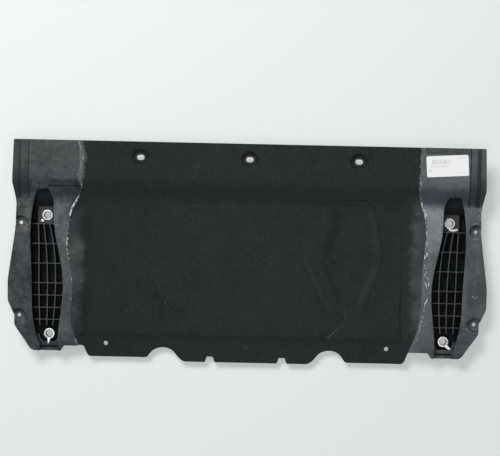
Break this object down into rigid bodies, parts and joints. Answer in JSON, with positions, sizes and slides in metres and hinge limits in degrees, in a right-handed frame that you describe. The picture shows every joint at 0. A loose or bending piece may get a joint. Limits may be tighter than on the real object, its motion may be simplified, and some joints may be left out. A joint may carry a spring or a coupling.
{
  "type": "engine guard",
  "caption": "Engine undertray: pressed-felt panel between two moulded plastic wings with ribbed pockets, slots and flanged steel bolt bushes.",
  "frame": {"origin": "under the middle of the guard's outline, on the plane that the pocket floors and the bush ends lie on", "axes": "road side up: +Z out of the road side, +X across the car, +Y towards the edge with the three slots"},
  "size_m": [1.0786, 0.494, 0.042],
  "materials": {
    "felt": "matt pressed fibre",
    "plastic": "scuffed grained black",
    "zinc": "zinc-plated"
  },
  "bodies": {
    "root": {"felt_panel": "felt", "left_wing": "plastic", "right_wing": "plastic", "left_bushes": "zinc", "right_bushes": "zinc"}
  },
  "joints": []
}
